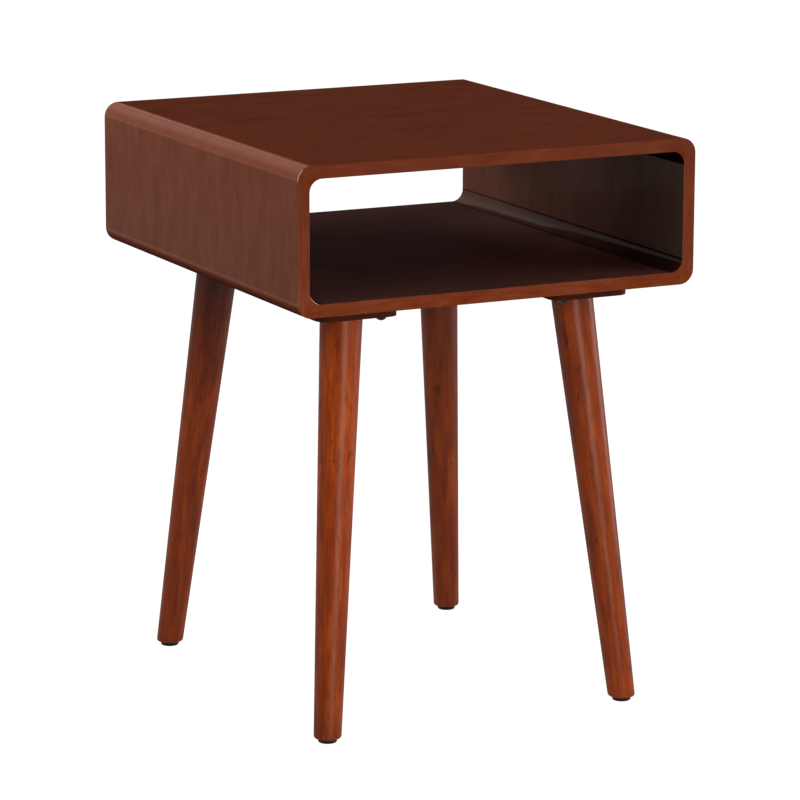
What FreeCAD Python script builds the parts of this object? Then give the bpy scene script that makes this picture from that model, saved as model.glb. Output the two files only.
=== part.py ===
"""End table with an open shelf: a rounded wooden case on four tapered, splayed legs.

Millimetres. +Z is up, the front faces -Y, and the origin lies on the floor under the
middle of the case. The driving sizes are in one sheet, and every piece is bound to it.
"""

import FreeCAD, Part
import math
import os
import re
import Sketcher

# The driving sizes, in millimetres unless the note says otherwise.
SIZES = {
    "case_width": 400,  # case, left side to right side
    "case_depth": 435,  # case, front edges to rear edges
    "case_height": 135,  # case, underside to table top
    "case_lift": 400,  # floor to the underside of the case
    "panel_thickness": 12,  # top, shelf and sides
    "outer_radius": 14,  # rounding on the outside of a corner strip
    "cove_radius": 12,  # hollow on the inside of a corner strip
    "arris_radius": 0.8,  # eased front and rear edges of the case
    "dowel_diameter": 6,  # dowels of the case joints
    "dowel_length": 20,  # half in the panel, half in the corner strip
    "dowel_count": 4,  # a count: dowels in each joint
    "dowel_end_inset": 48,  # front or rear edge to the nearest dowel
    "dowel_clearance": 0.1,  # glue film round a dowel
    "dowel_end_room": 1,  # glue room past each end of a dowel
    "block_side": 80,  # square block between a leg and the case
    "block_thickness": 14,
    "block_corner_radius": 12,  # rounded corners of a block, seen from below
    "leg_inset": 82,  # edges of the case to the leg's axis, at the block
    "leg_side_splay": 35,  # how much nearer the side the foot stands
    "leg_front_splay": 44,  # how much nearer the front or rear the foot stands
    "leg_top_diameter": 39,
    "leg_end_diameter": 25.4,
    "leg_end_radius": 2.2,  # eased lower edge of a leg
    "leg_dowel_diameter": 8,  # dowels that stop a leg turning on its block
    "leg_dowel_length": 24,
    "leg_dowel_depth": 10,  # part of that length inside the block
    "leg_dowel_offset": 7,  # leg's axis to a dowel, along each side of the block
    "leg_screw_diameter": 5,  # countersunk screw down through the block
    "leg_screw_length": 55,
    "leg_screw_head_diameter": 10,
    "leg_screw_head_height": 3,
    "leg_screw_clearance": 0.1,
    "leg_screw_end_room": 2,  # pilot hole past the screw's point
    "bolt_side_offset": 25,  # leg's axis to a bolt, towards the side
    "bolt_front_offset": 30,  # leg's axis to a bolt, towards the front or rear
    "bolt_diameter": 6,
    "bolt_head_diameter": 10.5,
    "bolt_head_height": 4.5,
    "bolt_rim_height": 1.2,  # straight rim under the dome of the head
    "bolt_reach": 8,  # end of the bolt past the block
    "bolt_clearance": 0.3,  # round a bolt in its block
    "insert_diameter": 9,  # threaded insert in the shelf
    "insert_length": 9,
    "insert_clearance": 0.1,
    "insert_end_room": 0.5,
    "thread_clearance": 0.1,  # round a bolt in its insert
    "glide_diameter": 17.5,  # foot glide
    "glide_height": 4,
    "glide_edge_radius": 1.5,
    "nail_diameter": 2.2,  # nail that holds a glide
    "nail_length": 18,
    "nail_point_length": 3,
    "nail_head_diameter": 7,
    "nail_head_height": 1,
    "nail_recess": 0.6,  # floor to the nail's head
    "nail_clearance": 0.1,
    "overrun": 10,  # how far a cutting tool runs past a face
}

# Sizes worked out from the driving ones.
DERIVED = {
    "corner_reach": "panel_thickness + cove_radius",
    "case_middle": "case_lift + case_height / 2",
    "dowel_pitch": "(case_depth - 2 * dowel_end_inset) / (dowel_count - 1)",
    "dowel_bore": "dowel_diameter + 2 * dowel_clearance",
    "dowel_bore_length": "dowel_length + 2 * dowel_end_room",
    "block_under": "case_lift - block_thickness",
    "leg_x": "case_width / 2 - leg_inset",
    "leg_y": "case_depth / 2 - leg_inset",
    "foot_x": "leg_x + leg_side_splay",
    "foot_y": "leg_y + leg_front_splay",
    "leg_drop": "block_under - glide_height",
    "leg_run": "hypot(leg_side_splay; leg_front_splay)",
    "leg_length": "hypot(leg_drop; leg_run)",
    "leg_taper": "(leg_top_diameter - leg_end_diameter) / (2 * leg_length)",
    "saw_rise": "leg_top_diameter * leg_run / leg_drop",
    "bolt_dome": "bolt_head_height - bolt_rim_height",
    "bolt_dome_radius": "(bolt_head_diameter ^ 2 / 4 + bolt_dome ^ 2) / (2 * bolt_dome)",
    "bolt_length": "bolt_head_height + block_thickness + bolt_reach",
    "nail_seat": "nail_recess + nail_head_height",
    "nail_bore_radius": "nail_diameter / 2 + nail_clearance",
    "nail_recess_radius": "nail_head_diameter / 2 + nail_clearance",
}

UP = FreeCAD.Vector(0, 0, 1)
QUARTER_TURN = FreeCAD.Rotation(FreeCAD.Vector(0, 1, 0), 90)

doc = FreeCAD.newDocument("end_table")
sheet = doc.addObject("Spreadsheet::Sheet", "sizes")
for row, (alias, value) in enumerate(SIZES.items(), start=1):
    sheet.set("A%d" % row, alias.replace("_", " "))
    sheet.set("B%d" % row, str(value))
    sheet.setAlias("B%d" % row, alias)
doc.recompute()


def sized(text):
    """An expression on the sheet, with the worked-out sizes spelled out."""

    def spell(match):
        word = match.group()
        if word in DERIVED:
            return "(" + sized(DERIVED[word]) + ")"
        return "sizes." + word if word in SIZES else word

    return re.sub(r"[a-z]\w*", spell, text)


def number(text):
    """The present value of an expression on the sheet."""
    return float(sheet.evalExpression(sized(text)))


def bind(thing, prop, text):
    """Ties a property to the sheet."""
    thing.setExpression(prop, sized(text))


def place(thing, x, y, z):
    """Ties a piece's position to the sheet."""
    bind(thing, "Placement.Base.x", x)
    bind(thing, "Placement.Base.y", y)
    bind(thing, "Placement.Base.z", z)


def add(kind, label):
    """A new labelled object of the document."""
    thing = doc.addObject(kind, label)
    thing.Label = label
    return thing


def sketch_on(body, role, name):
    """An empty sketch on one of the body's own origin planes."""
    sketch = body.newObject("Sketcher::SketchObject", name)
    plane = [feature for feature in body.Origin.OriginFeatures if feature.Role == role][0]
    sketch.AttachmentSupport = (plane, [""])
    sketch.MapMode = "FlatFace"
    return sketch


def arc_between(start, end, radius, bend):
    """The short arc between two points, with its centre on the left (1) or right (-1)."""
    chord = end - start
    left = FreeCAD.Vector(-chord.y, chord.x, 0).normalize()
    rise = math.sqrt(max(0, radius ** 2 - chord.Length ** 2 / 4))
    centre = start + chord / 2 + left * (bend * rise)
    angles = [math.atan2(point.y - centre.y, point.x - centre.x) for point in (start, end)]
    first, last = angles[::bend]
    if last < first:
        last += 2 * math.pi
    return Part.ArcOfCircle(Part.Circle(centre, UP, radius), first, last)


def hold(sketch, constraint, size):
    """Adds a constraint whose value is tied to the sheet."""
    index = sketch.addConstraint(constraint)
    sketch.setExpression("Constraints[%d]" % index, sized(size))


def outline(sketch, corners):
    """Closes an outline through corners (x, y), each held by its own sizes.

    A corner (x, y, radius, bend) starts an arc to the next corner instead of a line.
    """
    spots = [FreeCAD.Vector(number(corner[0]), number(corner[1]), 0) for corner in corners]
    count = len(corners)
    base = sketch.GeometryCount
    ends = []
    for index, corner in enumerate(corners):
        start = spots[index]
        end = spots[(index + 1) % count]
        if len(corner) == 2:
            sketch.addGeometry(Part.LineSegment(start, end))
            ends.append((1, 2))
        else:
            sketch.addGeometry(arc_between(start, end, number(corner[2]), corner[3]))
            ends.append((1, 2)[::corner[3]])
    for index, corner in enumerate(corners):
        here = base + index
        after = (index + 1) % count
        joined = Sketcher.Constraint("Coincident", here, ends[index][1], base + after, ends[after][0])
        sketch.addConstraint(joined)
        for axis, kind, size in ((-2, "DistanceX", corner[0]), (-1, "DistanceY", corner[1])):
            start = ends[index][0]
            if size == "0":
                sketch.addConstraint(Sketcher.Constraint("PointOnObject", here, start, axis))
            else:
                hold(sketch, Sketcher.Constraint(kind, -1, 1, here, start, number(size)), size)
        if len(corner) > 2:
            hold(sketch, Sketcher.Constraint("Radius", here, number(corner[2])), corner[2])


def ease(body, feature, radius, wanted):
    """Rounds the edges of a feature that the test picks out."""
    doc.recompute()
    edges = enumerate(feature.Shape.Edges, start=1)
    names = ["Edge%d" % index for index, edge in edges if wanted(edge)]
    fillet = body.newObject("PartDesign::Fillet", body.Name + "_easing")
    fillet.Base = (feature, names)
    bind(fillet, "Radius", radius)


def padded(label, role, corners, length, both_ways=False):
    """A body padded from one outline; also returns the pad."""
    body = add("PartDesign::Body", label)
    sketch = sketch_on(body, role, label + "_outline")
    outline(sketch, corners)
    pad = body.newObject("PartDesign::Pad", label + "_pad")
    pad.Profile = sketch
    pad.SideType = "Symmetric" if both_ways else "One side"
    bind(pad, "Length", length)
    return body, pad


def turned(label, corners):
    """A body turned about its own upright axis from half of its outline."""
    body = add("PartDesign::Body", label)
    sketch = sketch_on(body, "XZ_Plane", label + "_outline")
    outline(sketch, corners)
    turning = body.newObject("PartDesign::Revolution", label + "_turning")
    turning.Profile = sketch
    turning.ReferenceAxis = (sketch, ["V_Axis"])
    return body


def rod(label, diameter, length, start, across=False):
    """A plain round rod, upright or along X, from its lower or left end."""
    cylinder = add("Part::Cylinder", label)
    bind(cylinder, "Radius", "(%s) / 2" % diameter)
    bind(cylinder, "Height", length)
    if across:
        cylinder.Placement.Rotation = QUARTER_TURN
    place(cylinder, *start)
    return cylinder


def group(label, pieces):
    """Several separate solids under one name."""
    compound = add("Part::Compound", label)
    compound.Links = pieces
    return compound


def drilled(label, blank, tools):
    """The blank with all its holes."""
    holes = add("Part::MultiFuse", label + "_holes")
    holes.Shapes = tools
    cut = add("Part::Cut", label)
    cut.Base = blank
    cut.Tool = holes
    return cut


def oblong(width, depth):
    """The four corners of a rectangle about the origin."""
    x = "(%s) / 2" % width
    y = "(%s) / 2" % depth
    return [("-" + x, "-" + y), (x, "-" + y), (x, y), ("-" + x, y)]


def board(label, length, centre, upright=False):
    """A flat panel with its front and rear edges eased, lying along X or upright."""
    body, pad = padded(label, "XY_Plane", oblong(length, "case_depth"), "panel_thickness")

    def lengthwise(edge):
        box = edge.BoundBox
        return box.XLength > box.YLength + box.ZLength

    ease(body, pad, "arris_radius", lengthwise)
    if upright:
        body.Placement.Rotation = QUARTER_TURN
    place(body, *centre)
    return body


def corner_strip(label, turns, side, level):
    """A strip with a rounded outside and a coved inside, along the depth of the case."""
    corners = [
        ("outer_radius", "0"),
        ("corner_reach", "0"),
        ("corner_reach", "panel_thickness", "cove_radius", -1),
        ("panel_thickness", "corner_reach"),
        ("0", "corner_reach"),
        ("0", "outer_radius", "outer_radius", 1),
    ]
    body, pad = padded(label, "XZ_Plane", corners, "case_depth", both_ways=True)
    glued = number("corner_reach - arris_radius")

    def shows(edge):
        box = edge.BoundBox
        middle = edge.CenterOfMass
        return box.YLength < box.XLength + box.ZLength and max(middle.x, middle.z) < glued

    ease(body, pad, "arris_radius", shows)
    body.Placement.Rotation = FreeCAD.Rotation(FreeCAD.Vector(0, 1, 0), 90 * turns)
    place(body, "%d * case_width / 2" % side, "0", "case_middle + %d * case_height / 2" % level)
    return body


def case_dowels(label, side, level):
    """The dowels of one corner strip, and the bores for its panel and its side."""
    across_z = "case_middle + %d * (case_height - panel_thickness) / 2" % level
    across_x = "%d * (case_width / 2 - corner_reach)" % side
    upright_x = "%d * (case_width - panel_thickness) / 2" % side
    upright_z = "case_middle + %d * (case_height / 2 - corner_reach)" % level
    pegs = []
    bores = {"across": [], "upright": []}
    for index in range(int(SIZES["dowel_count"])):
        y = "dowel_end_inset - case_depth / 2 + %d * dowel_pitch" % index
        for way in ("across", "upright"):
            across = way == "across"
            for thing, diameter, length in (
                ("peg", "dowel_diameter", "dowel_length"),
                ("bore", "dowel_bore", "dowel_bore_length"),
            ):
                name = "%s_%s_%s_%d" % (label, way, thing, index + 1)
                half = " - (%s) / 2" % length
                start = (across_x + half, y, across_z) if across else (upright_x, y, upright_z + half)
                made = rod(name, diameter, length, start, across)
                if thing == "peg":
                    pegs.append(made)
                else:
                    bores[way].append(made)
    return group(label + "_dowels", pegs), bores


def leg_blank(label, side, face):
    """A turned taper on its splayed axis, sawn level at both ends, its lower edge eased."""
    body = turned(label, [
        ("0", "-overrun"),
        ("leg_end_diameter / 2 - leg_taper * overrun", "-overrun"),
        ("leg_top_diameter / 2 + leg_taper * overrun", "leg_length + overrun"),
        ("0", "leg_length + overrun"),
    ])
    saw = sketch_on(body, "XZ_Plane", label + "_saw_lines")
    outline(saw, [
        ("-leg_top_diameter", "saw_rise"),
        ("-leg_top_diameter", "-2 * overrun"),
        ("leg_top_diameter", "-2 * overrun"),
        ("leg_top_diameter", "-saw_rise"),
    ])
    outline(saw, [
        ("-leg_top_diameter", "leg_length + saw_rise"),
        ("leg_top_diameter", "leg_length - saw_rise"),
        ("leg_top_diameter", "leg_length + 2 * overrun"),
        ("-leg_top_diameter", "leg_length + 2 * overrun"),
    ])
    cut = body.newObject("PartDesign::Pocket", label + "_saw_cuts")
    cut.Profile = saw
    cut.SideType = "Symmetric"
    bind(cut, "Length", "2 * leg_top_diameter")
    halfway = number("leg_length / 2")

    def foot_edge(edge):
        return edge.isClosed() and edge.CenterOfMass.z < halfway

    ease(body, cut, "leg_end_radius", foot_edge)
    spot = "vector(%d * foot_x; %d * foot_y; glide_height)" % (side, face)
    heading = "atan2(%d * leg_front_splay; %d * leg_side_splay)" % (face, side)
    bind(body, "Placement", "placement(%s; rotation(%s; -atan(leg_run / leg_drop); 0))" % (spot, heading))
    return body


def bolt(label, x, y):
    """A dome-headed bolt, up through the block into its insert."""
    body = turned(label, [
        ("0", "0", "bolt_dome_radius", 1),
        ("bolt_head_diameter / 2", "bolt_dome"),
        ("bolt_head_diameter / 2", "bolt_head_height"),
        ("bolt_diameter / 2", "bolt_head_height"),
        ("bolt_diameter / 2", "bolt_length"),
        ("0", "bolt_length"),
    ])
    place(body, x, y, "block_under - bolt_head_height")
    return body


def insert(label, x, y):
    """A threaded insert, flush with the underside of the shelf."""
    body = turned(label, [
        ("bolt_diameter / 2 + thread_clearance", "0"),
        ("insert_diameter / 2", "0"),
        ("insert_diameter / 2", "insert_length"),
        ("bolt_diameter / 2 + thread_clearance", "insert_length"),
    ])
    place(body, x, y, "case_lift")
    return body


def leg_screw(label, x, y):
    """A countersunk screw, flush with the top of the block."""
    body = turned(label, [
        ("0", "0"),
        ("leg_screw_diameter / 2", "leg_screw_diameter"),
        ("leg_screw_diameter / 2", "leg_screw_length - leg_screw_head_height"),
        ("leg_screw_head_diameter / 2", "leg_screw_length"),
        ("0", "leg_screw_length"),
    ])
    place(body, x, y, "case_lift - leg_screw_length")
    return body


def countersink(label, x, y):
    """The seat of the screw's head in the top of the block."""
    cone = add("Part::Cone", label)
    bind(cone, "Radius1", "leg_screw_diameter / 2 + leg_screw_clearance")
    bind(cone, "Radius2", "leg_screw_head_diameter / 2 + leg_screw_clearance")
    bind(cone, "Height", "leg_screw_head_height")
    place(cone, x, y, "case_lift - leg_screw_head_height")
    return cone


def glide(label, x, y):
    """A round foot with an eased rim and a recess for its nail."""
    body = turned(label, [
        ("nail_recess_radius", "0"),
        ("glide_diameter / 2 - glide_edge_radius", "0", "glide_edge_radius", 1),
        ("glide_diameter / 2", "glide_edge_radius"),
        ("glide_diameter / 2", "glide_height"),
        ("nail_bore_radius", "glide_height"),
        ("nail_bore_radius", "nail_seat"),
        ("nail_recess_radius", "nail_seat"),
    ])
    place(body, x, y, "0")
    return body


def glide_nail(label, x, y):
    """A flat-headed nail, up through the glide into the leg."""
    body = turned(label, [
        ("0", "0"),
        ("nail_head_diameter / 2", "0"),
        ("nail_head_diameter / 2", "nail_head_height"),
        ("nail_diameter / 2", "nail_head_height"),
        ("nail_diameter / 2", "nail_length - nail_point_length"),
        ("0", "nail_length"),
    ])
    place(body, x, y, "nail_recess")
    return body


def stands(edge):
    """True of an upright edge."""
    box = edge.BoundBox
    return box.ZLength > box.XLength + box.YLength


# The case: each corner strip is doweled to a panel and to a side.
parts = []
panel_bores = {"top": [], "bottom": [], "left": [], "right": []}
for turns, level_name, side_name in ((0, "bottom", "left"), (1, "top", "left"), (2, "top", "right"),
                                     (3, "bottom", "right")):
    side = 1 if side_name == "right" else -1
    level = 1 if level_name == "top" else -1
    strip_label = "%s_%s_corner" % (level_name, side_name)
    dowels, bores = case_dowels(strip_label, side, level)
    strip = corner_strip(strip_label + "_blank", turns, side, level)
    parts.append(drilled(strip_label, strip, bores["across"] + bores["upright"]))
    parts.append(dowels)
    panel_bores[level_name] += bores["across"]
    panel_bores[side_name] += bores["upright"]

# The legs, each with its block, its fixings and its glide.
for face_name, face in (("front", -1), ("rear", 1)):
    for side_name, side in (("left", -1), ("right", 1)):
        name = "%s_%s_" % (face_name, side_name)
        leg_x = "%d * leg_x" % side
        leg_y = "%d * leg_y" % face
        foot = ("%d * foot_x" % side, "%d * foot_y" % face)
        bolts = []
        inserts = []
        bolt_bores = []
        pegs = []
        peg_bores = []
        for index, way in enumerate((1, -1), start=1):
            bolt_spot = ("%s - %d * bolt_side_offset" % (leg_x, way * side),
                         "%s + %d * bolt_front_offset" % (leg_y, way * face))
            bolts.append(bolt("%sbolt_%d" % (name, index), *bolt_spot))
            inserts.append(insert("%sinsert_%d" % (name, index), *bolt_spot))
            bolt_bores.append(rod("%sbolt_bore_%d" % (name, index), "bolt_diameter + 2 * bolt_clearance",
                                  "block_thickness + 2 * overrun", bolt_spot + ("block_under - overrun",)))
            panel_bores["bottom"].append(
                rod("%sinsert_bore_%d" % (name, index), "insert_diameter + 2 * insert_clearance",
                    "overrun + insert_length + insert_end_room", bolt_spot + ("case_lift - overrun",)))
            peg_spot = ("%s + %d * leg_dowel_offset" % (leg_x, way * side),
                        "%s + %d * leg_dowel_offset" % (leg_y, way * face))
            peg_foot = "block_under + leg_dowel_depth - leg_dowel_length"
            pegs.append(rod("%sleg_peg_%d" % (name, index), "leg_dowel_diameter", "leg_dowel_length",
                            peg_spot + (peg_foot,)))
            peg_bores.append(rod("%sleg_peg_bore_%d" % (name, index),
                                 "leg_dowel_diameter + 2 * dowel_clearance",
                                 "leg_dowel_length + 2 * dowel_end_room",
                                 peg_spot + (peg_foot + " - dowel_end_room",)))
        screw_bore = rod(name + "leg_screw_bore", "leg_screw_diameter + 2 * leg_screw_clearance",
                         "leg_screw_length + leg_screw_end_room",
                         (leg_x, leg_y, "case_lift - leg_screw_length - leg_screw_end_room"))
        nail_bore = rod(name + "nail_bore", "2 * nail_bore_radius", "overrun + nail_length",
                        foot + ("nail_recess + nail_clearance - overrun",))

        block, block_pad = padded(name + "block_blank", "XY_Plane", oblong("block_side", "block_side"),
                                  "block_thickness")
        ease(block, block_pad, "block_corner_radius", stands)
        place(block, leg_x, leg_y, "block_under")
        block_holes = bolt_bores + peg_bores + [screw_bore, countersink(name + "countersink", leg_x, leg_y)]
        parts.append(drilled(name + "leg", leg_blank(name + "leg_blank", side, face),
                             peg_bores + [screw_bore, nail_bore]))
        parts.append(drilled(name + "leg_block", block, block_holes))
        parts.append(group(name + "block_bolts", bolts))
        parts.append(group(name + "block_inserts", inserts))
        parts.append(group(name + "leg_dowels", pegs))
        parts.append(leg_screw(name + "leg_screw", leg_x, leg_y))
        parts.append(glide(name + "glide", *foot))
        parts.append(glide_nail(name + "glide_nail", *foot))

# The four panels, drilled for the dowels and, in the shelf, for the inserts.
panel_length = "case_width - 2 * corner_reach"
side_length = "case_height - 2 * corner_reach"
panels = (
    ("top_panel", "top", panel_length, ("0", "0", "case_lift + case_height - panel_thickness"), False),
    ("shelf_panel", "bottom", panel_length, ("0", "0", "case_lift"), False),
    ("left_side_panel", "left", side_length, ("-case_width / 2", "0", "case_middle"), True),
    ("right_side_panel", "right", side_length, ("case_width / 2 - panel_thickness", "0", "case_middle"), True),
)
for label, edge_name, length, centre, upright in panels:
    blank = board(label + "_blank", length, centre, upright)
    parts.append(drilled(label, blank, panel_bores[edge_name]))

doc.recompute()

# Nothing is written unless every object is sound and every hole cuts its piece.
for thing in doc.Objects:
    if "Invalid" in thing.State or "Error" in thing.State:
        raise RuntimeError("%s failed: %s" % (thing.Label, thing.State))
for piece in parts:
    if piece.Shape.isNull() or not piece.Shape.isValid():
        raise RuntimeError("%s has no valid shape" % piece.Label)
    if piece.TypeId == "Part::Cut" and piece.Shape.Volume >= piece.Base.Shape.Volume:
        raise RuntimeError("%s was not drilled" % piece.Label)

os.makedirs("parts", exist_ok=True)
for piece in parts:
    piece.Shape.exportStep("parts/%s.step" % piece.Label)
print("%d pieces" % len(parts))
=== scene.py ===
# %% [markdown]
# # An end table with an open shelf
# A rounded wooden case, open at the front and the rear, stands on four turned legs that splay
# outwards. The CAD frame already holds every piece at its true size, so this lesson gives the
# pieces their looks: smooth surfaces where a curve shows, stained and lacquered wood, a white
# studio floor and a camera where the photographer stood.
#
# We start by loading the frame and bringing each of its parts into world space. The looks may
# not grow past it.

# %% Load the frame
import math
from types import SimpleNamespace

import bpy
import numpy as np
from mathutils import Matrix, Vector


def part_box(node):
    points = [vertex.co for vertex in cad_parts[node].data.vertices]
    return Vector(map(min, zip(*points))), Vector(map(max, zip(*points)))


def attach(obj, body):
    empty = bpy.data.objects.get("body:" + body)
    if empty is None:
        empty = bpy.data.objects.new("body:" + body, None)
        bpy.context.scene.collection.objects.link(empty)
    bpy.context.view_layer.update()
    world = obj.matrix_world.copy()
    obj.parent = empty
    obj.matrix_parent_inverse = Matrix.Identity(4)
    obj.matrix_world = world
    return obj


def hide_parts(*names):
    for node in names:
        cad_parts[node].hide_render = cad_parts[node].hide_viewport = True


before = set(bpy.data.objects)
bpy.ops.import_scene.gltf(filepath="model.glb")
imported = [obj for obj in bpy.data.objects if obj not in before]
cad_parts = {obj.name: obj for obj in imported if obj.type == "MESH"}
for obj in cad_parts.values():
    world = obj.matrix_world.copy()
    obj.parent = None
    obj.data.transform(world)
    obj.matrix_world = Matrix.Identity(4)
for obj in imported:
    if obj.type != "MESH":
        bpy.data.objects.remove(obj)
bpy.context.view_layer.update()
MM = 0.001
print("nodes in the frame:", len(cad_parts))

# %% [markdown]
# ## From arrays to pieces
# Each new piece is a closed skin of rings: the same number of points on every ring, joined to the
# next ring by quads. Working with whole arrays keeps the formula of a shape on one or two lines.
# A skin's volume tells us which way its faces point, so we turn them all at once if it is negative.

# %% Helpers for skins
SHARP_FROM = math.radians(40)


def quads_between(rings, around):
    """Corner numbers of a tube's quads: point j of ring i, point j+1, and the same two on ring i+1."""
    i, j = np.meshgrid(np.arange(rings - 1) * around, np.arange(around), indexing="ij")
    k = (j + 1) % around
    return np.stack([i + j, i + k, i + around + k, i + around + j], -1).reshape(-1, 4)


def fan(start, around, pole):
    """Triangles from each side of a ring to one pole."""
    j = np.arange(around)
    return np.stack([start + (j + 1) % around, start + j, np.full(around, pole)], -1)


def ladder(start, around):
    """Quads across a ring whose halves run side by side, so that point j faces point n-1-j."""
    j = np.arange(around // 2 - 1)
    return start + np.stack([j + 1, j, around - 1 - j, around - 2 - j], -1)


def volume(points, faces):
    """Sum of a.(b x c)/6 over the faces' triangles, which is positive where faces look outwards."""
    triangles = np.concatenate([
        block[:, [0, n, n + 1]] for block in faces for n in range(1, block.shape[1] - 1)])
    a, b, c = (points[triangles[:, n]] for n in range(3))
    return np.einsum("ij,ij->", a, np.cross(b, c)) / 6


def piece(name, points, faces, slot, *nodes):
    """Puts points and blocks of faces into a smooth mesh that stands for CAD nodes."""
    if volume(points, faces) < 0:
        faces = [block[:, ::-1] for block in faces]
    mesh = bpy.data.meshes.new(name)
    mesh.from_pydata(points.tolist(), [], [face for block in faces for face in block.tolist()])
    mesh.polygons.foreach_set("use_smooth", np.ones(len(mesh.polygons), bool))
    mesh.set_sharp_from_angle(angle=SHARP_FROM)
    thing = bpy.data.objects.new(name, mesh)
    bpy.context.scene.collection.objects.link(thing)
    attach(thing, "root")
    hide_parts(*nodes)
    return thing


print("helpers for skins ready")

# %% [markdown]
# ## The rounded corner strips
# Four strips run along the depth of the case: round outside, coved inside. A maker would run them
# through a shaper. We do the same: one outline is carried along Y. At the two ends the outline
# draws in along a quarter circle, which eases the front and rear arris so that it catches light.
#
# Smooth shading blends the normals of neighbouring faces, so a long flat beside a tight curve would
# look bent. A guard point, or a guard ring, close to the curve keeps that blend to 0.3 mm.

# %% Corner strips
corner_boxes = np.array([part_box(name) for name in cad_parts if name.endswith("_corner")])
CASE_LOW = corner_boxes.min(axis=(0, 1)).tolist()
CASE_HIGH = corner_boxes.max(axis=(0, 1)).tolist()
TOP_LOW, TOP_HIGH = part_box("top_panel")
PANEL = TOP_HIGH.z - TOP_LOW.z
STRIP_REACH = CASE_HIGH[0] - TOP_HIGH.x
OUTER_RADIUS = 14 * MM
COVE_RADIUS = STRIP_REACH - PANEL
ARRIS = 0.8 * MM
FLAT_GUARD = 0.3 * MM
STEPS = 24
COVE_STEPS = STEPS + 4  # as many points as the outside has with its joints and guards
ARRIS_STEPS = 7


def quarter_arc(steps):
    """Points of a circle of radius 1 about the origin, from its left end to its low end."""
    angle = np.linspace(math.pi, 1.5 * math.pi, steps)
    return np.stack([np.cos(angle), np.sin(angle)], -1)


def strip_outline(inset):
    """The outside from joint to joint, then the cove back again, both drawn in by each inset.

    One row of points for each inset: the outer radius shrinks by it and the cove radius grows.
    A guard point stands beside each end of the rounding."""
    inset = inset[:, None, None]
    joint = np.concatenate([inset, np.full_like(inset, STRIP_REACH)], -1)
    guard = np.concatenate([inset, np.full_like(inset, OUTER_RADIUS + FLAT_GUARD)], -1)
    outside = OUTER_RADIUS + (OUTER_RADIUS - inset) * quarter_arc(STEPS)
    cove = STRIP_REACH + (COVE_RADIUS + inset) * quarter_arc(COVE_STEPS)
    stretches = [joint, guard, outside, guard[..., ::-1], joint[..., ::-1], cove[:, ::-1]]
    return np.concatenate(stretches, 1)


def corner_strip(level, side):
    """The outline in XZ, mirrored into its corner of the case and carried along Y.

    Rings follow the quarter circle of the arris at each end, and a guard ring follows them.
    The faces of the outer rounding get material number 1, all others 0."""
    turn = np.linspace(0, math.pi / 2, ARRIS_STEPS)
    from_end = np.append(ARRIS * (1 - np.cos(turn)), ARRIS + FLAT_GUARD)
    inset = np.append(ARRIS * (1 - np.sin(turn)), 0)
    outline = strip_outline(np.concatenate([inset, inset[::-1]]))
    x = CASE_LOW[0] + outline[..., 0] if side == "left" else CASE_HIGH[0] - outline[..., 0]
    z = CASE_LOW[2] + outline[..., 1] if level == "bottom" else CASE_HIGH[2] - outline[..., 1]
    y = np.concatenate([CASE_LOW[1] + from_end, CASE_HIGH[1] - from_end[::-1]])
    rings = np.stack([x, np.broadcast_to(y[:, None], x.shape), z], -1)
    count, around = x.shape
    last = (count - 1) * around
    faces = [quads_between(count, around), ladder(0, around), ladder(last, around)[:, ::-1]]
    name = "%s_%s_corner" % (level, side)
    made = piece(name + "_strip", rings.reshape(-1, 3), faces, "case_wood", name)
    outer = np.isin(np.arange(len(faces[0])) % around, np.arange(2, STEPS + 1))
    number = np.append(outer, np.zeros(around - 2, bool)).astype(np.int32)
    made.data.polygons.foreach_set("material_index", number)
    return made


upper_strips = [corner_strip("top", side) for side in ("left", "right")]
lower_strips = [corner_strip("bottom", side) for side in ("left", "right")]
print("corner strips:", [thing.name for thing in upper_strips + lower_strips])

# %% [markdown]
# ## The turned legs
# A leg is a cone on a leaning axis, sawn level at both ends. Rather than cut a cone with planes,
# we walk along each straight line of the cone and solve where it meets a given height: then every
# ring is level from the start. The lowest rings draw in along a quarter circle, as the eased foot.
#
# Each point also keeps its place in the leg's own frame, so that the grain can follow the leg, and
# a tone, which is painted light and shade: each leg is darker under the case and near its foot, and
# the rear legs are darker overall, more than the lamps alone make them. The tones were set by trial
# until the render came close.

# %% Legs
LEG_TOP_DIAMETER = 39 * MM
LEG_END_DIAMETER = 25.4 * MM
LEG_EASE = 2.2 * MM
LEG_RINGS = 40
EASE_STEPS = 8
NEXT_BOARD = np.array([0.31, 0.17, 0.9])  # each leg reads the grain of another place in the wood
# heights as shares of the leg's top, then each leg's painted shade there: darker under the case, near
# the foot and on the rear legs
LEG_SHADE_HEIGHTS = (0, 0.35, 0.65, 0.88, 0.96, 1)
LEG_PAINTED_SHADE = {
    ("front", "left"): (0.67, 0.89, 1.06, 1.06, 0.82, 0.72),
    ("front", "right"): (0.88, 0.73, 0.74, 0.74, 0.66, 0.4),
    ("rear", "left"): (0.84, 0.82, 0.94, 0.42, 0.28, 0.24),
    ("rear", "right"): (0.74, 0.67, 0.6, 0.36, 0.34, 0.32),
}


def middle(node):
    """The middle of a CAD node's box."""
    low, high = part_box(node)
    return (np.array(low) + np.array(high)) / 2


def keep(thing, name, kind, field, values):
    """Stores one value for each point of a piece, for its material to read."""
    thing.data.attributes.new(name, kind, "POINT").data.foreach_set(field, values.ravel())


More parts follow.
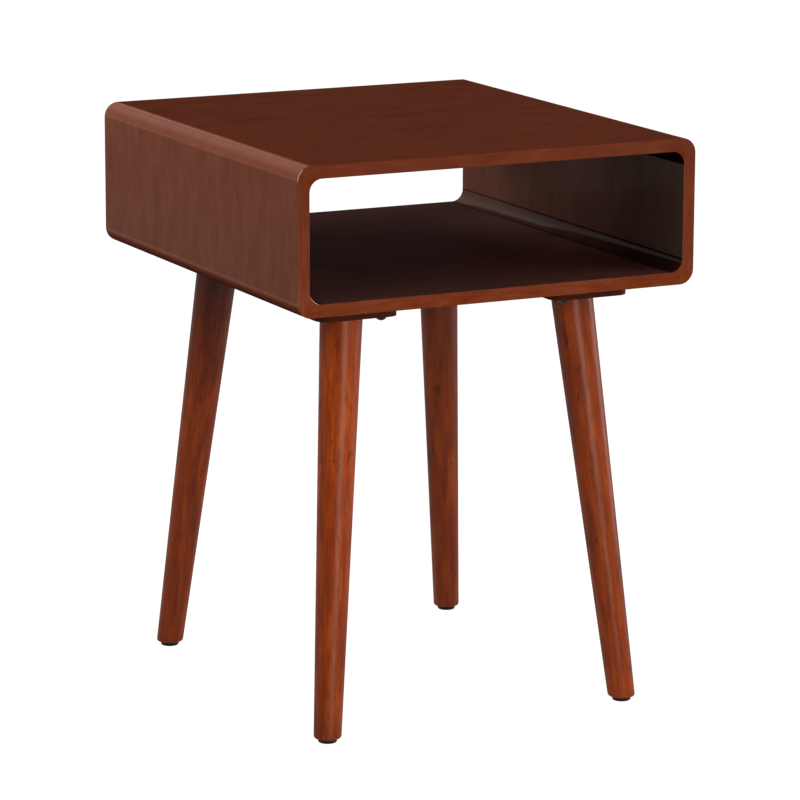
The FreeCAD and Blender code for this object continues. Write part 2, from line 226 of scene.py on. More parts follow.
def leg(face, side, around=96):
    """A cone whose radius grows evenly: the line at angle t follows the axis and its growing spoke.

    It meets height h after s = (h - r0 ez) / (az + k ez) along the axis, with the foot's radius r0,
    its growth k, the axis a and the spoke e. The eased rings then draw in towards their middle."""
    name = "%s_%s_leg" % (face, side)
    foot = middle("%s_%s_glide" % (face, side))
    foot[2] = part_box("%s_%s_glide" % (face, side))[1].z
    head = middle(name + "_block")
    head[2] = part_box(name + "_block")[0].z
    length = np.linalg.norm(head - foot)
    axis = (head - foot) / length
    across = np.cross(axis, [0, 0, 1])
    across /= np.linalg.norm(across)
    third = np.cross(axis, across)
    t = np.linspace(0, 2 * math.pi, around, endpoint=False)
    spoke = np.cos(t)[:, None] * across + np.sin(t)[:, None] * third
    foot_radius = LEG_END_DIAMETER / 2
    growth = (LEG_TOP_DIAMETER - LEG_END_DIAMETER) / 2 / length
    turn = np.linspace(0, math.pi / 2, EASE_STEPS)
    straight = np.linspace(LEG_EASE, head[2] - foot[2], LEG_RINGS)[1:]
    height = np.concatenate([LEG_EASE * (1 - np.cos(turn)), straight])
    inset = np.concatenate([LEG_EASE * (1 - np.sin(turn)), 0 * straight])[:, None, None]
    s = (height[:, None] - foot_radius * spoke[:, 2]) / (axis[2] + growth * spoke[:, 2])
    centre = foot + (height / axis[2])[:, None] * axis
    rim = foot + s[..., None] * axis + (foot_radius + growth * s)[..., None] * spoke
    out = rim - centre[:, None]
    rings = centre[:, None] + out * (1 - inset / np.linalg.norm(out, axis=-1, keepdims=True))
    points = np.concatenate([rings.reshape(-1, 3), [foot, head]])
    size = rings[..., 0].size
    faces = [quads_between(len(height), around), fan(0, around, size),
             fan(size - around, around, size + 1)[:, ::-1]]
    made = piece(name + "_turned", points, faces, "leg_wood", name)
    own = (points - foot) @ np.stack([across, third, axis], -1)
    board = list(LEG_PAINTED_SHADE).index((face, side))
    keep(made, "grain", "FLOAT_VECTOR", "vector", own + board * NEXT_BOARD)
    # painted shade: a factor on the leg's stain by height, standing for shade under the case
    painted_leg_shade = np.interp(points[:, 2] / head[2], LEG_SHADE_HEIGHTS, LEG_PAINTED_SHADE[face, side])
    keep(made, "painted_leg_shade", "FLOAT", "value", painted_leg_shade)
    return made


legs = [leg(face, side) for face, side in LEG_PAINTED_SHADE]
print("legs:", [thing.name for thing in legs])

# %% [markdown]
# ## Small turned pieces: glides and bolts
# A glide and a dome-headed bolt are both turned: half an outline swept round an upright axis. One
# function sweeps any outline, and closes it with a pole at each end.

# %% Glides and bolts
GLIDE_EASE = 1.5 * MM
GLIDE_RECESS = 3.6 * MM
GLIDE_RECESS_DEPTH = 1.6 * MM
BOLT_HEAD_RADIUS = 5.25 * MM
BOLT_DOME = 3.3 * MM
BOLT_HEAD_HEIGHT = 4.5 * MM
BOLT_RADIUS = 3 * MM
BOLT_CROWN = 0.02  # angle of the dome's first ring, close round its pole
DOME_STEPS = 12


def turned(outline, x, y, around=48):
    """Radius and height of each outline point swept round (x, y); the ends close on the axis."""
    t = np.linspace(0, 2 * math.pi, around, endpoint=False)
    radius, z = outline[:, :1], outline[:, 1:]
    rings = np.stack([x + radius * np.cos(t), y + radius * np.sin(t), z + 0 * t], -1)
    size = rings[..., 0].size
    points = np.concatenate([rings.reshape(-1, 3), [[x, y, outline[0, 1]], [x, y, outline[-1, 1]]]])
    faces = [quads_between(len(outline), around), fan(0, around, size),
             fan(size - around, around, size + 1)[:, ::-1]]
    return points, faces


def glide(face, side):
    """Recess for the nail, flat ring, quarter-round rim, upright wall."""
    name = "%s_%s_glide" % (face, side)
    low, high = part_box(name)
    radius = (high.x - low.x) / 2
    turn = np.linspace(0, math.pi / 2, EASE_STEPS)
    rim = np.stack([radius - GLIDE_EASE * (1 - np.sin(turn)), GLIDE_EASE * (1 - np.cos(turn))], -1)
    recess = [[GLIDE_RECESS, GLIDE_RECESS_DEPTH], [GLIDE_RECESS, 0]]
    x, y, _ = middle(name)
    points, faces = turned(np.concatenate([recess, rim, [[radius, high.z]]]), x, y)
    return piece(name + "_turned", points, faces, "glide_plastic", name)


def bolts(face, side):
    """Two bolts on one diagonal of the block: a dome that is part of a sphere, its rim, its shank."""
    name = "%s_%s_block_bolts" % (face, side)
    low, high = (np.array(corner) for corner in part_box(name))
    sphere = (BOLT_HEAD_RADIUS ** 2 + BOLT_DOME ** 2) / (2 * BOLT_DOME)
    turn = np.linspace(BOLT_CROWN, math.asin(BOLT_HEAD_RADIUS / sphere), DOME_STEPS)
    dome = np.stack([sphere * np.sin(turn), sphere * (1 - np.cos(turn))], -1)
    rest = [[BOLT_HEAD_RADIUS, BOLT_HEAD_HEIGHT], [BOLT_RADIUS, BOLT_HEAD_HEIGHT],
            [BOLT_RADIUS, high[2] - low[2]]]
    outline = np.concatenate([dome, rest]) + [0, low[2]]
    inner_x, outer_x = sorted((low[0] + BOLT_HEAD_RADIUS, high[0] - BOLT_HEAD_RADIUS), key=abs)
    inner_y, outer_y = sorted((low[1] + BOLT_HEAD_RADIUS, high[1] - BOLT_HEAD_RADIUS), key=abs)
    points, faces = turned(outline, inner_x, outer_y)
    second, _ = turned(outline, outer_x, inner_y)
    both = faces + [block + len(points) for block in faces]
    return piece(name + "_turned", np.concatenate([points, second]), both, "black_bolt", name)


glides = [glide(face, side) for face, side in LEG_PAINTED_SHADE]
bolt_pairs = [bolts(face, side) for face, side in LEG_PAINTED_SHADE]
print("glides:", len(glides), "bolt pairs:", len(bolt_pairs))

# %% [markdown]
# ## Materials from real finishes
# A colour is written as it looks on a screen, as a hex value, and one function turns it into the
# linear light that a shader needs. One more function adds a node with its settings and links. The
# hex values were set by trial: each was changed until its part of the render came close to the
# photograph.

# %% Helpers for materials


def linear(code):
    """An sRGB hex value as linear red, green and blue, with alpha 1."""
    srgb = np.array([int(code[n:n + 2], 16) for n in (1, 3, 5)]) / 255
    return (*np.where(srgb <= 0.04045, srgb / 12.92, ((srgb + 0.055) / 1.055) ** 2.4), 1.0)


def add(tree, kind, inputs={}, stops=(), **settings):
    """Adds a node; an input takes a value or the socket that feeds it, a ramp (place, hex) stops."""
    node = tree.nodes.new("ShaderNode" + kind)
    for key, value in settings.items():
        setattr(node, key, value)
    for key, value in inputs.items():
        if isinstance(value, bpy.types.NodeSocket):
            tree.links.new(value, node.inputs[key])
        else:
            node.inputs[key].default_value = value
    for number, (place, code) in enumerate(stops):
        elements = node.color_ramp.elements
        element = elements[number] if number < 2 else elements.new(place)
        element.position = place
        element.color = linear(code)
    return node


def material(name, **constants):
    """A material with a Principled shader, whose constant sockets are set here."""
    made = bpy.data.materials.new(name)
    made.use_nodes = True
    shader = made.node_tree.nodes["Principled BSDF"]
    for key, value in constants.items():
        shader.inputs[key.replace("_", " ")].default_value = value
    return made, made.node_tree, shader.inputs


def dress(things, *finishes):
    """Gives pieces their materials, in the order of their faces' material numbers."""
    for thing in things:
        thing.data.materials.clear()
        for finish in finishes:
            thing.data.materials.append(finish)


print("helpers for materials ready")

# %% [markdown]
# ## Veneer on the case, and where on it a point lies
# The panels are board with a close-grained veneer, stained red-brown and sprayed with satin lacquer.
# Such veneer shows short faint streaks, and soft clouds where the stain took unevenly. The streaks
# run along X on the top and the shelf, and upright on the sides. Each piece could have a pattern of
# its own, but all of them sit at the origin, so one pattern on Object coordinates runs across the
# joints as a sheet of veneer does. The same coordinates tell the outside from the inside.

# %% Streaks, clouds and places
STREAK = (2.2 * MM, 24 * MM)  # width and length; real streaks are finer, too fine to show from here
CLOUD = (20 * MM, 50 * MM)
CLOUD_SHARE = 0.55
ROUND_FROM = CASE_HIGH[0] - OUTER_RADIUS
CASE_MIDDLE = (CASE_LOW[2] + CASE_HIGH[2]) / 2
HALF_HEIGHT = (CASE_HIGH[2] - CASE_LOW[2]) / 2
SKIN = 0.1 * MM  # the inside is told from the outside this far within the wood
INSIDE_HALF = CASE_HIGH[0] - PANEL + SKIN
INSIDE_HIGH = HALF_HEIGHT - PANEL + SKIN


def stretched(tree, place, along, width, length, detail=4.0):
    """Noise drawn out along one axis, so that one patch of it is a streak of this width and length."""
    scale = [1 / width] * 3
    scale["XYZ".index(along)] = 1 / length
    drawn = add(tree, "Mapping", {"Vector": place, "Scale": scale}).outputs[0]
    noise = {"Vector": drawn, "Scale": 1.0, "Detail": detail, "Roughness": 0.6, "Distortion": 0.4}
    return add(tree, "TexNoise", noise).outputs["Fac"]


def case_places(tree):
    """Where a point lies on the case, as sockets.

    across, depth and reach are its distances from the middle planes along X, Y and Z, and above is
    its height over the middle. on_side marks the sides, inside the shelf space. streaks and veneer
    are the two patterns: lying along X on the level panels and upright on the sides."""
    place = add(tree, "TexCoord").outputs["Object"]
    x, y, z = add(tree, "SeparateXYZ", {"Vector": place}).outputs
    across = add(tree, "Math", {0: x}, operation="ABSOLUTE").outputs[0]
    depth = add(tree, "Math", {0: y}, operation="ABSOLUTE").outputs[0]
    above = add(tree, "Math", {0: z, 1: CASE_MIDDLE}, operation="SUBTRACT").outputs[0]
    reach = add(tree, "Math", {0: above}, operation="ABSOLUTE").outputs[0]
    on_side = add(tree, "Math", {0: across, 1: ROUND_FROM}, operation="GREATER_THAN").outputs[0]
    within = add(tree, "Math", {0: across, 1: INSIDE_HALF}, operation="LESS_THAN").outputs[0]
    between = add(tree, "Math", {0: reach, 1: INSIDE_HIGH}, operation="LESS_THAN").outputs[0]
    inside = add(tree, "Math", {0: within, 1: between}, operation="MULTIPLY").outputs[0]
    patterns = []
    for width, length in (STREAK, CLOUD):
        lying, upright = (stretched(tree, place, along, width, length) for along in "XZ")
        patterns.append(add(tree, "Mix", {0: on_side, 2: lying, 3: upright}).outputs[0])
    veneer = add(tree, "Mix", {0: CLOUD_SHARE, 2: patterns[0], 3: patterns[1]}).outputs[0]
    return SimpleNamespace(
        place=place, y=y, z=z, across=across, depth=depth, above=above, reach=reach,
        on_side=on_side, inside=inside, streaks=patterns[0], veneer=veneer)


print("case: half height", round(HALF_HEIGHT, 4), "rounding from", round(ROUND_FROM, 4))

# %% [markdown]
# ## Stain and painted light on the outside
# The top is darker than the sides, and the sides are a little paler towards the top: this is painted
# light, lighter where the lamps leave the sides dark and darker low down. The upper roundings are
# paler still, partly paler wood and partly painted sheen. The lower ones are painted shade: a thin
# pale line where they start, a painted highlight, then dark, nearly black underneath. At the front
# and the rear a solid lipping covers the board's edge. It is more orange, and painted paler below,
# as light, and at two places its arris carries a painted glint. Separate materials would show a hard
# line between these places, so one material blends them by position.

# %% Outside colour
SIDE_FADE = 60 * MM
# painted shade on the sides: a factor on the stain from the bottom to the top
SIDE_PAINTED_SHADE = (0.88, 1.07)
ROUND_BLEND = (-0.01, 0.03)
LIPPING_FROM = CASE_HIGH[1] - 0.35 * MM
# painted light: the lipping's stain is shifted paler towards the bottom
LIPPING_LIGHT_SLOPE = -1.2  # shift along its colour stops for each metre of height
GLINT_PLACE, GLINT_HALF = CASE_HIGH[1] - 0.38 * ARRIS, 0.24 * ARRIS
GLINT_DEPTH = CASE_LOW[1] + 0.3 * MM
PAINTED_GLINTS = (  # middle and radius of each painted glint, both at the front left corner
    ((CASE_LOW[0] + 1.6 * MM, GLINT_DEPTH, CASE_HIGH[2] - 7.4 * MM), 6 * MM),
    ((CASE_LOW[0] + 16.5 * MM, GLINT_DEPTH, CASE_LOW[2] + 15.5 * MM), 5.5 * MM),
)


def outside_stain_and_light(tree, at):
    """Colour of the panels and sides by streaks and clouds; sides painted paler, with painted shade
    low down.
    """
    top_stops = ((0.3, "#552313"), (0.5, "#5d2915"), (0.7, "#652f18"))
    # the side stops are painted lighter than the top's, standing for light on the sides
    side_stops = ((0.36, "#672f16"), (0.5, "#703519"), (0.64, "#793c1d"))
    top, side = (add(tree, "ValToRGB", {"Fac": at.veneer}, stops).outputs[0]
                 for stops in (top_stops, side_stops))
    painted_height_shade = add(tree, "MapRange", {"Value": at.above, "From Min": -SIDE_FADE, "From Max": SIDE_FADE,
                                   "To Min": SIDE_PAINTED_SHADE[0], "To Max": SIDE_PAINTED_SHADE[1]}).outputs[0]
    side = add(tree, "HueSaturation", {"Color": side, "Value": painted_height_shade}).outputs[0]
    return add(tree, "Mix", {0: at.on_side, 6: top, 7: side}, data_type="RGBA").outputs[2]


def with_roundings(tree, at, colour):
    """Upper roundings paler, partly painted sheen; lower ones painted shade; by share of the half
    height.
    """
    start = 1 - OUTER_RADIUS / HALF_HEIGHT
    share = add(tree, "Math", {0: at.reach, 1: HALF_HEIGHT}, operation="DIVIDE").outputs[0]
    pale_and_sheen_stops = ((0.3, "#7c391d"), (0.7, "#853f22"))
    # painted: a thin pale highlight line where the lower rounding starts, then shade to near black
    underside_shade_stops = ((start, "#8a4c30"), (start + 0.02, "#8a4c30"),
                  (start + 0.05, "#6a3020"), (1, "#2c0f0a"))
    pale_and_sheen = add(tree, "ValToRGB", {"Fac": at.veneer}, pale_and_sheen_stops).outputs[0]
    dark = add(tree, "ValToRGB", {"Fac": share}, underside_shade_stops).outputs[0]
    upper = add(tree, "Math", {0: at.above, 1: 0.0}, operation="GREATER_THAN").outputs[0]
    corner = add(tree, "Mix", {0: upper, 6: dark, 7: pale_and_sheen}, data_type="RGBA").outputs[2]
    rounded = add(tree, "MapRange", {"Value": share, "From Min": start + ROUND_BLEND[0],
                                     "From Max": start + ROUND_BLEND[1]}).outputs[0]
    rounded = add(tree, "Math", {0: rounded, 1: at.on_side}, operation="MULTIPLY").outputs[0]
    return add(tree, "Mix", {0: rounded, 6: colour, 7: corner}, data_type="RGBA").outputs[2]


def with_lipping(tree, at, colour):
    """Orange lipping at both ends of the depth, painted paler below, and painted glints on its arris.
    """
    on_edge = add(tree, "Math", {0: at.depth, 1: LIPPING_FROM}, operation="GREATER_THAN").outputs[0]
    painted_lower_light = add(tree, "Math", {0: at.above, 1: LIPPING_LIGHT_SLOPE, 2: at.veneer},
                operation="MULTIPLY_ADD").outputs[0]
    stops = ((0.3, "#51200a"), (0.5, "#5e2712"), (0.7, "#6c341f"))
    lipping = add(tree, "ValToRGB", {"Fac": painted_lower_light}, stops).outputs[0]
    colour = add(tree, "Mix", {0: on_edge, 6: colour, 7: lipping}, data_type="RGBA").outputs[2]
    arris = {0: at.depth, 1: GLINT_PLACE, 2: GLINT_HALF}
    eased = add(tree, "Math", arris, operation="COMPARE").outputs[0]
    # a pale colour painted on the arris at two places stands for glints
    glint_colour = linear("#d8b890")
    for spot, radius in PAINTED_GLINTS:
        away = add(tree, "VectorMath", {0: at.place, 1: spot}, operation="DISTANCE").outputs["Value"]
        near = add(tree, "MapRange", {"Value": away, "From Min": 0.7 * radius, "From Max": radius,
                                      "To Min": 1.0, "To Max": 0.0}).outputs[0]
        glint = add(tree, "Math", {0: near, 1: eased}, operation="MULTIPLY").outputs[0]
        colour = add(tree, "Mix", {0: glint, 6: colour, 7: glint_colour}, data_type="RGBA").outputs[2]
    return colour


# the count of painted glints
print("rubbed places:", len(PAINTED_GLINTS))

# %% [markdown]
# ## Stain and painted shade on the inside
# The shelf space looks darker and greyer, partly stain and partly painted shade. Each piece has three
# painted shades from the front to the rear, darker towards the front, and the shelf is painted paler
# beside the walls, as light that bounces off them. The joints of the corner strips show
# as thin dark lines. They could be grooves in the mesh, but a real one is a hair wide, so a line of
# colour without lacquer is drawn instead, a little wider than the real one so that it shows.

# %% Inside colour
SEAM_ON_WALL, SEAM_ON_PANEL = 0.45 * MM, 0.7 * MM  # half the width of a line
# painted shade inside: three shades placed along Y from the front to the rear
SHADE_FRONT, SHADE_REAR = -130 * MM, 190 * MM
SHADE_PLACES = (0, 0.4, 1)
# painted light on the shelf beside the walls, fading at both ends of the depth
BOUNCE_FROM, BOUNCE_TO = 85 * MM, 160 * MM
BOUNCE_MIDDLE, BOUNCE_FULL, BOUNCE_END = 15 * MM, 75 * MM, 165 * MM


def seam_lines(tree, at):
    """1 where a point lies on a joint of a corner strip, by height on a wall and by X on a panel."""
    on_wall = {0: at.reach, 1: HALF_HEIGHT - STRIP_REACH, 2: SEAM_ON_WALL}
    on_panel = {0: at.across, 1: CASE_HIGH[0] - STRIP_REACH, 2: SEAM_ON_PANEL}
    lines = [add(tree, "Math", line, operation="COMPARE").outputs[0] for line in (on_wall, on_panel)]
    return add(tree, "Math", {0: lines[0], 1: lines[1]}, operation="MAXIMUM").outputs[0]


def inside_stain_and_shade(tree, at, seam, bounce, shades):
    """Painted shades along Y, the veneer's clouds, painted light from the wall, and dark joints.

    The painted light grows towards the wall along X and fades at both ends of the depth."""
    along = add(tree, "MapRange", {"Value": at.y, "From Min": SHADE_FRONT,
                                   "From Max": SHADE_REAR}).outputs[0]
    shade = add(tree, "ValToRGB", {"Fac": along}, tuple(zip(SHADE_PLACES, shades))).outputs[0]
    patchy = add(tree, "ValToRGB", {"Fac": at.veneer}, ((0.3, "#d8d8d8"), (0.7, "#ffffff"))).outputs[0]
    shade = add(tree, "Mix", {0: 1.0, 6: shade, 7: patchy},
                data_type="RGBA", blend_type="MULTIPLY").outputs[2]
    wallward = add(tree, "MapRange", {"Value": at.across, "From Min": BOUNCE_FROM,
                                      "From Max": BOUNCE_TO, "To Max": bounce}).outputs[0]
    off = add(tree, "Math", {0: at.y, 1: BOUNCE_MIDDLE}, operation="SUBTRACT").outputs[0]
    off = add(tree, "Math", {0: off}, operation="ABSOLUTE").outputs[0]
    lit = add(tree, "MapRange", {"Value": off, "From Min": BOUNCE_FULL, "From Max": BOUNCE_END,
                                 "To Min": 1.0, "To Max": 0.0}).outputs[0]
    gain = add(tree, "Math", {0: wallward, 1: lit, 2: 1.0}, operation="MULTIPLY_ADD").outputs[0]
    shade = add(tree, "HueSaturation", {"Color": shade, "Value": gain}).outputs[0]
    return add(tree, "Mix", {0: seam, 6: shade, 7: linear("#0d0605")}, data_type="RGBA").outputs[2]


print("inside shades from", SHADE_FRONT, "to", SHADE_REAR)

# %% [markdown]
# ## Satin lacquer, and the case dressed
# Satin lacquer is a thin clear coat: it gives a weak, fairly clear reflection over matt stain. It is
# uneven in the same clouds as the stain, nearly gone under the lower roundings, and thinner inside.
# The reflection on the roundings is more blurred, as on wood that was sanded between coats. The
# roughness of a coat has to be one number for a whole material, because an exported model loses a
# pattern there, so the roundings have a material of their own.

# %% Case wood
COAT, COAT_BELOW = 0.15, 0.01
COAT_FROM = CASE_LOW[2] + 8 * MM
COAT_FULL = CASE_LOW[2] + OUTER_RADIUS


def lacquer(tree, at, seam, coat_inside):
    """Coat weight: by height outside, times the clouds; one number inside, and none on the joints."""
    outside = add(tree, "MapRange", {"Value": at.z, "From Min": COAT_FROM, "From Max": COAT_FULL,
                                     "To Min": COAT_BELOW, "To Max": COAT}).outputs[0]
    uneven = add(tree, "MapRange", {"Value": at.veneer, "From Min": 0.35, "From Max": 0.65,
                                    "To Min": 0.85, "To Max": 1.15}).outputs[0]
    outside = add(tree, "Math", {0: outside, 1: uneven}, operation="MULTIPLY").outputs[0]
    within = add(tree, "MapRange", {"Value": seam, "To Min": coat_inside, "To Max": 0.0}).outputs[0]
    return add(tree, "Mix", {0: at.inside, 2: outside, 3: within}).outputs[0]


def case_wood(name, gloss_blur, coat_inside, bounce, *shades):
    """The outside stain, then the inside, the roundings and the lipping laid over it in turn."""
    made, tree, shader = material(
        name, Specular_IOR_Level=0.0, Roughness=0.5, Coat_Roughness=gloss_blur)
    at = case_places(tree)
    seam = seam_lines(tree, at)
    shade = inside_stain_and_shade(tree, at, seam, bounce, shades)
    colour = outside_stain_and_light(tree, at)
    colour = add(tree, "Mix", {0: at.inside, 6: colour, 7: shade}, data_type="RGBA").outputs[2]
    colour = with_lipping(tree, at, with_roundings(tree, at, colour))
    tree.links.new(colour, shader["Base Color"])
    tree.links.new(lacquer(tree, at, seam, coat_inside), shader["Coat Weight"])
    bump = add(tree, "Bump", {"Height": at.streaks, "Strength": 0.05, "Distance": 0.1 * MM}).outputs[0]
    tree.links.new(bump, shader["Normal"])
    return made


SATIN, SANDED = 0.12, 0.22
# the three inside colours of each material are painted shade, darker towards the front
LOWER_SHADES = ("#2d1812", "#5e4038", "#6a4438")
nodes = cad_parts
panels = [nodes[name] for name in ("top_panel", "left_side_panel", "right_side_panel")]
dress(panels, case_wood(
    "satin lacquered red-brown veneer", SATIN, 0.03, 0.0, "#4e3a34", "#805a50", "#7e4c3e"))
# the shelf's bounce number paints light beside the walls
dress([nodes["shelf_panel"]], case_wood(
    "satin lacquered red-brown shelf", SATIN, 0.07, 1.1, "#50302b", "#583c38", "#5c3e38"))
rounding = case_wood("sanded red-brown rounding", SANDED, 0.08, 0.0, *LOWER_SHADES)
# the upper coves are painted nearly black inside, as shade
dress(upper_strips, case_wood(
    "red-brown upper corner wood", SATIN, 0.0, 0.0, "#120706", "#341f1a", "#4c3029"), rounding)
dress(lower_strips, case_wood(
    "red-brown lower corner wood", SATIN, 0.08, 0.0, *LOWER_SHADES), rounding)
print("case dressed:", len(panels) + 1 + len(upper_strips) + len(lower_strips), "pieces")

# %% [markdown]
# ## Lacquered leg wood
# The legs are turned from a plain hardwood, stained a warmer brown and lacquered to a soft gloss.
# Turned wood shows its whole life: long streaks, broader dark bands, pores as short dashes and a few
# pin knots. All of it reads the attribute made with the leg, so it runs down each leg as it leans.
# The lacquer sinks a little into the pores, which breaks up the long highlight.

# %% Leg wood
FIBRE = (2.2 * MM, 34 * MM)  # width and length of each pattern
BAND = (9 * MM, 60 * MM)
KNOT = (9 * MM, 26 * MM)
PORE = (2.8 * MM, 8 * MM)  # real pores are a tenth of this, drawn coarser so that they show
BAND_SHARE = 0.62


def leg_wood():
    """Fibres and bands give the stain colour; knots and pores darken it where their noise peaks."""
    # A thick clear coat, rubbed down: a soft highlight with blurred edges.
    made, tree, shader = material(
        "gloss lacquered turned hardwood", Specular_IOR_Level=0.0, Roughness=0.5,
        Coat_Weight=0.28, Coat_Roughness=0.36)
    place = add(tree, "Attribute", attribute_name="grain").outputs["Vector"]
    fibres, bands = (stretched(tree, place, "Z", *size) for size in (FIBRE, BAND))
    both = add(tree, "Mix", {0: BAND_SHARE, 2: fibres, 3: bands}).outputs[0]
    stops = ((0.34, "#632206"), (0.46, "#7e3008"), (0.54, "#8b380c"), (0.66, "#a14914"))
    colour = add(tree, "ValToRGB", {"Fac": both}, stops).outputs[0]
    knots = stretched(tree, place, "Z", *KNOT, 2.0)
    pores = stretched(tree, place, "Z", *PORE, 1.0)
    for noise, low, high, most, dark in (
            (knots, 0.63, 0.75, 0.65, "#34160c"), (pores, 0.73, 0.77, 0.85, "#2a120b")):
        peak = add(tree, "MapRange", {"Value": noise, "From Min": low, "From Max": high,
                                      "To Max": most}).outputs[0]
        colour = add(tree, "Mix", {0: peak, 6: colour, 7: linear(dark)}, data_type="RGBA").outputs[2]
    # painted shade along the leg scales the stain colour, darker under the case
    painted_leg_shade = add(tree, "Attribute", attribute_name="painted_leg_shade").outputs["Fac"]
    colour = add(tree, "HueSaturation", {"Color": colour, "Value": painted_leg_shade}).outputs[0]
    tree.links.new(colour, shader["Base Color"])
    sunken = add(tree, "Bump", {"Height": pores, "Strength": 0.7, "Distance": 0.2 * MM}, invert=True)
    tree.links.new(sunken.outputs[0], shader["Normal"])
    tree.links.new(sunken.outputs[0], shader["Coat Normal"])
    return made


dress(legs, leg_wood())
print("legs dressed:", len(legs))

# %% [markdown]
# ## Dark blocks, black bolts, plastic glides and the hidden fixings
# These pieces show only at edges, but each still gets the finish of the real thing: streaked wood on
# the blocks and the dowels, and a fine even grain on plated steel and moulded plastic. One grain
# does for all of them, long and narrow on wood and round elsewhere.

# %% Small finishes


def grained(name, dark, light, width, length, roughness, **constants):
    """One grain along X mixes two near colours, and sets roughness and bump."""
    made, tree, shader = material(name, **constants)
    place = add(tree, "TexCoord").outputs["Object"]
    grain = stretched(tree, place, "X", width, length)
    colour = add(tree, "ValToRGB", {"Fac": grain}, ((0.35, dark), (0.65, light))).outputs[0]
    uneven = add(tree, "MapRange", {"Value": grain, "From Min": 0.3, "From Max": 0.7,
                                    "To Min": roughness - 0.06, "To Max": roughness + 0.06}).outputs[0]
    bump = add(tree, "Bump", {"Height": grain, "Strength": 0.4, "Distance": 0.1 * MM}).outputs[0]
    for output, socket in ((colour, "Base Color"), (uneven, "Roughness"), (bump, "Normal")):
        tree.links.new(output, shader[socket])
    return made


# Stain soaks into bare block wood and leaves it dull, and bare beech is pale and matt. Zinc is a soft
# grey metal. Plastic from a textured mould is dull, and black plating is a little glossier. The grain
# of moulding and plating is really finer than a tenth of a millimetre, drawn coarser so that it shows.
block_wood = grained(
    "dark stained block wood", "#2e130c", "#3f1c12", 2 * MM, 24 * MM, 0.6, Specular_IOR_Level=0.03)
beech = grained("bare beech", "#b58d5c", "#cfac7c", 1 * MM, 10 * MM, 0.7)
zinc = grained("zinc plated steel", "#8e8e8b", "#b5b5b0", 2 * MM, 2 * MM, 0.35, Metallic=1.0)
plastic = grained(
    "moulded dark plastic", "#120b0a", "#1e1311", 1.5 * MM, 1.5 * MM, 0.5, Specular_IOR_Level=0.1)
black = grained(
    "black plated bolt", "#0b0a0a", "#181615", 1 * MM, 1 * MM, 0.35, Specular_IOR_Level=0.1)
small = {"_leg_block": block_wood, "_dowels": beech, "_inserts": zinc, "_leg_screw": zinc,
         "_glide_nail": zinc}
for ending, finish in small.items():
    dress([node for name, node in nodes.items() if name.endswith(ending)], finish)
dress(glides, plastic)
dress(bolt_pairs, black)
print("small finishes:", [made.name for made in (block_wood, beech, zinc, plastic, black)])

# %% [markdown]
# ## The studio floor
# The floor is white paper. It is white where a camera or a mirror looks at it and still takes the
# shadow: most of its light there is its own, and the rest comes from the lamps. To all other light
# it is a plain grey, so that it lights the table only a little from below. A floor that is lit white
# by the lamps alone would need them so strong that the wood would lose its colour.

# %% Floor
FLOOR_HALF = 60.0
corners = [(x * FLOOR_HALF, y * FLOOR_HALF, 0) for x, y in ((-1, -1), (1, -1), (1, 1), (-1, 1))]
floor_mesh = bpy.data.meshes.new("studio_floor")
floor_mesh.from_pydata(corners, [], [(0, 1, 2, 3)])
floor = bpy.data.objects.new("studio_floor", floor_mesh)
bpy.context.scene.collection.objects.link(floor)
paper = bpy.data.materials.new("white paper")
paper.use_nodes = True
tree = paper.node_tree
tree.nodes.clear()
path = add(tree, "LightPath").outputs
seen = path["Is Camera Ray"]
for ray in ("Is Glossy Ray", "Is Transmission Ray"):
    seen = add(tree, "Math", {0: seen, 1: path[ray]}, operation="MAXIMUM").outputs[0]
plain = add(tree, "BsdfDiffuse", {"Color": (0.45, 0.45, 0.45, 1)}).outputs[0]
faint = add(tree, "BsdfDiffuse", {"Color": (0.18, 0.18, 0.18, 1)}).outputs[0]
glow = add(tree, "Emission", {"Color": (1, 1, 1, 1), "Strength": 0.94}).outputs[0]
white = add(tree, "AddShader", {0: faint, 1: glow}).outputs[0]
mixed = add(tree, "MixShader", {0: seen, 1: plain, 2: white}).outputs[0]
add(tree, "OutputMaterial", {"Surface": mixed})
floor_mesh.materials.append(paper)
print("floor:", 2 * FLOOR_HALF, "m wide")

# %% [markdown]
# ## Sky and softboxes
# A dim dome, brighter overhead, fills the shadows. Softboxes do the rest: one above for the top, two
# strips in front for the long highlights down the front legs, three on the right, two on the left,
# and three behind for the soft sheen on the top. The strips in front are a little warm. Each row
# gives a name, the angle round from the front, the elevation, the distance, width, height and watts.

# %% Light
WARM = (1, 0.95, 0.8)
world = bpy.data.worlds.new("studio")
bpy.context.scene.world = world
world.use_nodes = True
tree = world.node_tree
tree.nodes.clear()
direction = add(tree, "TexCoord").outputs["Generated"]
up = add(tree, "SeparateXYZ", {"Vector": direction}).outputs["Z"]
dome = add(tree, "MapRange", {"Value": up, "From Min": 0.3, "From Max": 0.9,
                              "To Min": 0.08, "To Max": 0.45}).outputs[0]
sky = add(tree, "Background", {"Color": (1, 1, 1, 1), "Strength": dome}).outputs[0]
add(tree, "OutputWorld", {"Surface": sky})


def softbox(name, azimuth, elevation, distance, width, height, watts, tint=(1, 1, 1)):
    """An area light at a compass angle from the front and an elevation, aimed at the case."""
    a, e = math.radians(azimuth), math.radians(elevation)
    aim = Vector((0, 0, CASE_MIDDLE))
    away = Vector((math.sin(a) * math.cos(e), -math.cos(a) * math.cos(e), math.sin(e)))
    data = bpy.data.lights.new(name, "AREA")
    data.shape = "RECTANGLE"
    data.size, data.size_y, data.energy, data.color = width, height, watts, tint
    lamp = bpy.data.objects.new(name, data)
    lamp.location = aim + distance * away
    lamp.rotation_euler = (-away).to_track_quat("-Z", "Y").to_euler()
    lamp.visible_camera = False
    bpy.context.scene.collection.objects.link(lamp)
    return lamp


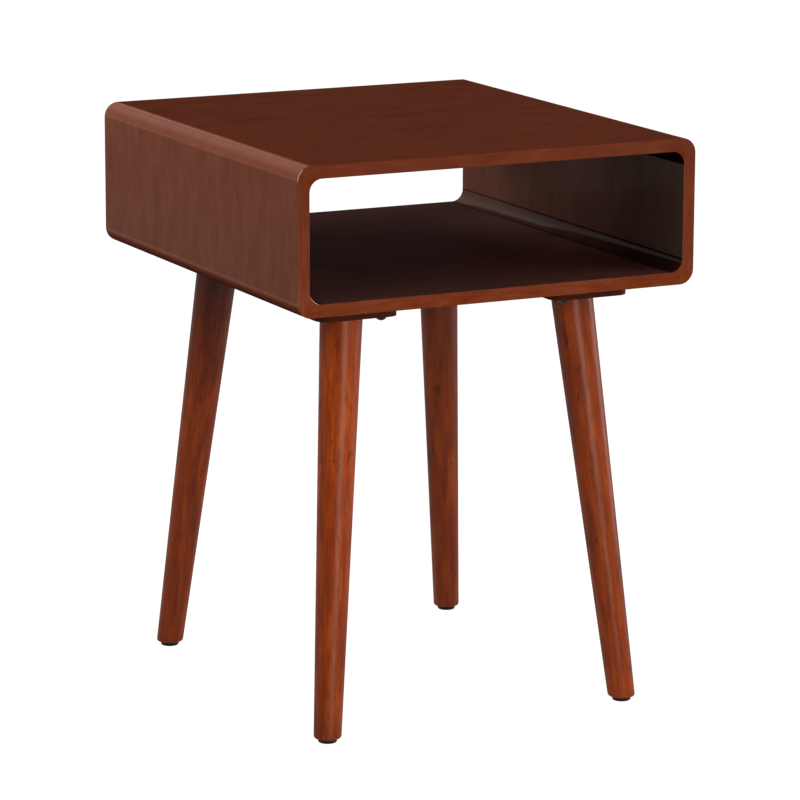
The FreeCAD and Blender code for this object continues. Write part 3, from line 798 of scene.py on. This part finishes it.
lamps = [softbox(*row) for row in (
    ("overhead softbox", -10, 78, 2.2, 1.4, 1.4, 6.6),
    ("front strip", -4, 1, 1.5, 0.43, 0.95, 12.2, WARM),
    ("low front strip", -4, -12, 1.5, 0.36, 0.28, 2.5, WARM),
    ("right softbox", 42, 10, 2.2, 1.8, 1.4, 4.5),
    ("upper right softbox", 50, 30, 2.5, 1.4, 1.0, 15),
    ("right rim softbox", 80, -8, 1.5, 0.5, 0.5, 6.5),
    ("left softbox", -92, 45, 3.0, 1.6, 1.2, 15),
    ("low left softbox", -120, 18, 3.0, 1.0, 1.0, 23.5),
    ("rear softbox", -174, 22.5, 6.0, 5.2, 1.9, 54),
    ("rear left softbox", -152, 5, 3.0, 1.3, 0.8, 5),
    ("upper rear softbox", -170, 25, 6.0, 2.0, 1.1, 5),
)]
print("softboxes:", len(lamps))

# %% [markdown]
# ## The camera
# A long lens from a few metres away keeps the edges nearly parallel. The camera stands to the left of
# the table's front, looks a little down, and is rolled by a fifth of a degree, as the photograph is.
# Its axes are the columns of its matrix: across, upright, and backwards.

# %% Camera
VIEW_TURN = math.radians(26.67)
VIEW_PITCH = math.radians(12.374)
VIEW_ROLL = math.radians(0.207)
VIEW_DISTANCE = 3.8029
VIEW_SIDEWAYS = 8.39 * MM
VIEW_HEIGHT = 266.9 * MM
LENS = 180.58
level = math.cos(VIEW_PITCH)
forward = Vector((math.sin(VIEW_TURN) * level, math.cos(VIEW_TURN) * level, -math.sin(VIEW_PITCH)))
right = Vector((math.cos(VIEW_TURN), -math.sin(VIEW_TURN), 0))
over = right.cross(forward)
across = math.cos(VIEW_ROLL) * right + math.sin(VIEW_ROLL) * over
upright = math.cos(VIEW_ROLL) * over - math.sin(VIEW_ROLL) * right
target = VIEW_SIDEWAYS * right + Vector((0, 0, VIEW_HEIGHT))
lens = bpy.data.cameras.new("camera")
lens.lens = LENS
lens.sensor_width = 36
camera = bpy.data.objects.new("camera", lens)
axes = Matrix((across, upright, -forward)).transposed().to_4x4()
camera.matrix_world = Matrix.Translation(target - VIEW_DISTANCE * forward) @ axes
bpy.context.scene.collection.objects.link(camera)
bpy.context.scene.camera = camera
bpy.context.scene.view_settings.view_transform = "Standard"
print("camera at", [round(v, 3) for v in camera.matrix_world.translation])

# %% [markdown]
# ## Finish
# The view layer is updated, so that every piece stands where it was put.

# %% Finish
bpy.context.view_layer.update()
